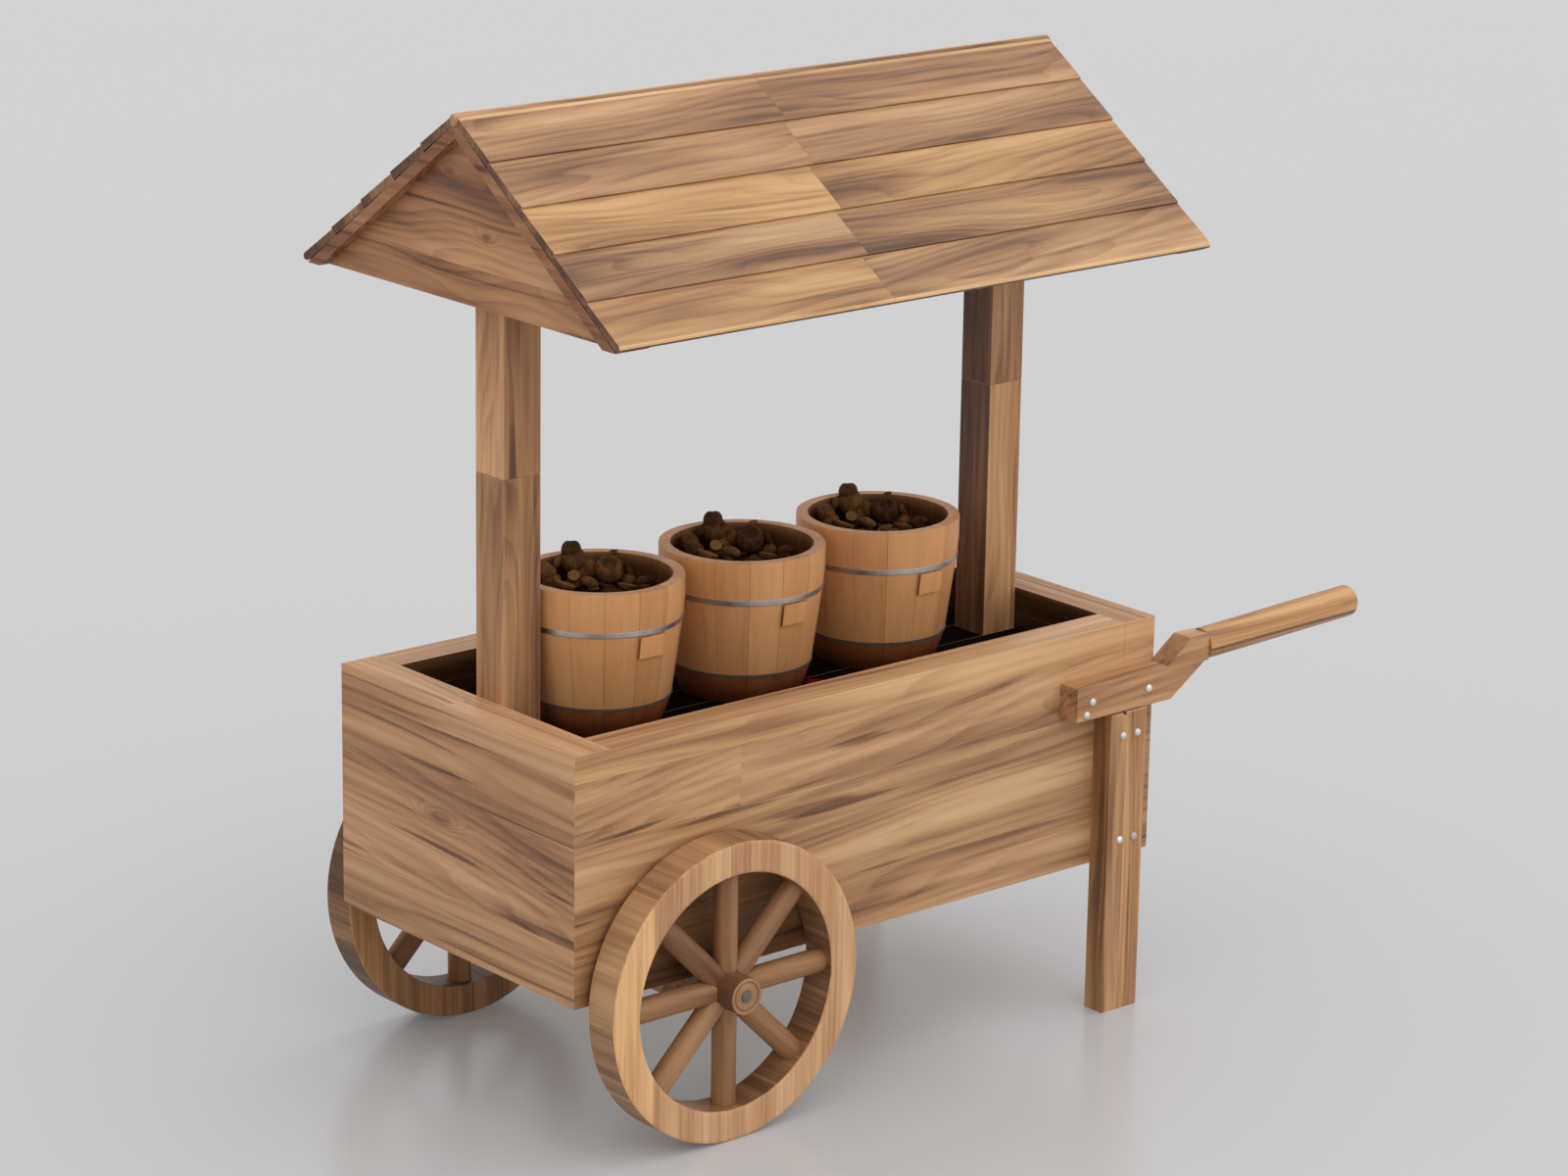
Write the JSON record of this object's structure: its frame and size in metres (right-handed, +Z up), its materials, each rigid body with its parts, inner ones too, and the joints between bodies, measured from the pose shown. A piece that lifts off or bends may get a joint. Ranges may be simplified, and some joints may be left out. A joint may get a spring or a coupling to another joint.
{
  "type": "nut cart",
  "caption": "Hand cart for selling nuts: a thick timber tray on spoked wheels and legs, with barrels of nuts under a gabled board roof on posts, and a cranked push handle.",
  "frame": {"origin": "centre of the bounding box in plan, on the level ground that the wheels and legs rest on", "axes": "+Z up; +X along the cart, from the wheel end to the handle; -Y is the side that carries the handle"},
  "size_m": [2.0506, 0.982, 1.955],
  "materials": {
    "frame_wood": "oiled",
    "deck_lining": "matt stain",
    "tray_wood": "satin oiled",
    "hoop_steel": "satin",
    "axle_steel": "dull",
    "bolt_steel": "bright",
    "wheel_wood": "satin oiled",
    "handle_wood": "satin oiled",
    "post_wood": "satin oiled",
    "gable_wood": "satin oiled",
    "roof_wood": "satin oiled",
    "nut_shell": "dull",
    "barrel_wood": "satin"
  },
  "bodies": {
    "cart": {"tray_floor": "frame_wood", "display_deck": "deck_lining", "near_ledger": "frame_wood", "far_ledger": "frame_wood", "near_long_wall": "tray_wood", "far_long_wall": "tray_wood", "wheel_end_wall": "tray_wood", "handle_end_wall": "tray_wood", "axle_beam": "frame_wood", "axle": "axle_steel", "near_leg": "handle_wood", "far_leg": "handle_wood", "near_leg_bolts": "bolt_steel", "far_leg_bolts": "bolt_steel", "handle_arm": "handle_wood", "handle_grip": "handle_wood", "handle_bolts": "bolt_steel", "wheel_end_post_lower": "post_wood", "wheel_end_post_upper": "post_wood", "handle_end_post_lower": "post_wood", "handle_end_post_upper": "post_wood", "wheel_end_gable": "gable_wood", "handle_end_gable": "gable_wood", "wheel_end_near_rake": "gable_wood", "wheel_end_far_rake": "gable_wood", "handle_end_near_rake": "gable_wood", "handle_end_far_rake": "gable_wood", "near_roof_board_1": "roof_wood", "near_roof_board_2": "roof_wood", "near_roof_board_3": "roof_wood", "near_roof_board_4": "roof_wood", "near_roof_board_5": "roof_wood", "far_roof_board_1": "roof_wood", "far_roof_board_2": "roof_wood", "far_roof_board_3": "roof_wood", "far_roof_board_4": "roof_wood", "far_roof_board_5": "roof_wood", "barrel_1_staves": "barrel_wood", "barrel_2_staves": "barrel_wood", "barrel_3_staves": "barrel_wood", "barrel_1_base": "barrel_wood", "barrel_2_base": "barrel_wood", "barrel_3_base": "barrel_wood", "barrel_1_hoops": "hoop_steel", "barrel_2_hoops": "hoop_steel", "barrel_3_hoops": "hoop_steel", "barrel_tags": "barrel_wood", "barrel_1_nuts": "nut_shell", "barrel_2_nuts": "nut_shell", "barrel_3_nuts": "nut_shell"},
    "near_wheel": {"near_wheel_rim": "wheel_wood", "near_wheel_spokes": "wheel_wood", "near_wheel_hub": "wheel_wood"},
    "far_wheel": {"far_wheel_rim": "wheel_wood", "far_wheel_spokes": "wheel_wood", "far_wheel_hub": "wheel_wood"}
  },
  "joints": [
    {"name": "near_wheel_spin", "type": "hinge", "parent": "cart", "child": "near_wheel", "pos_m": [-0.70229, -0.422, 0.3], "axis": [0, 1, 0], "continuous": true},
    {"name": "far_wheel_spin", "type": "hinge", "parent": "cart", "child": "far_wheel", "pos_m": [-0.70229, 0.422, 0.3], "axis": [0, 1, 0], "continuous": true}
  ]
}
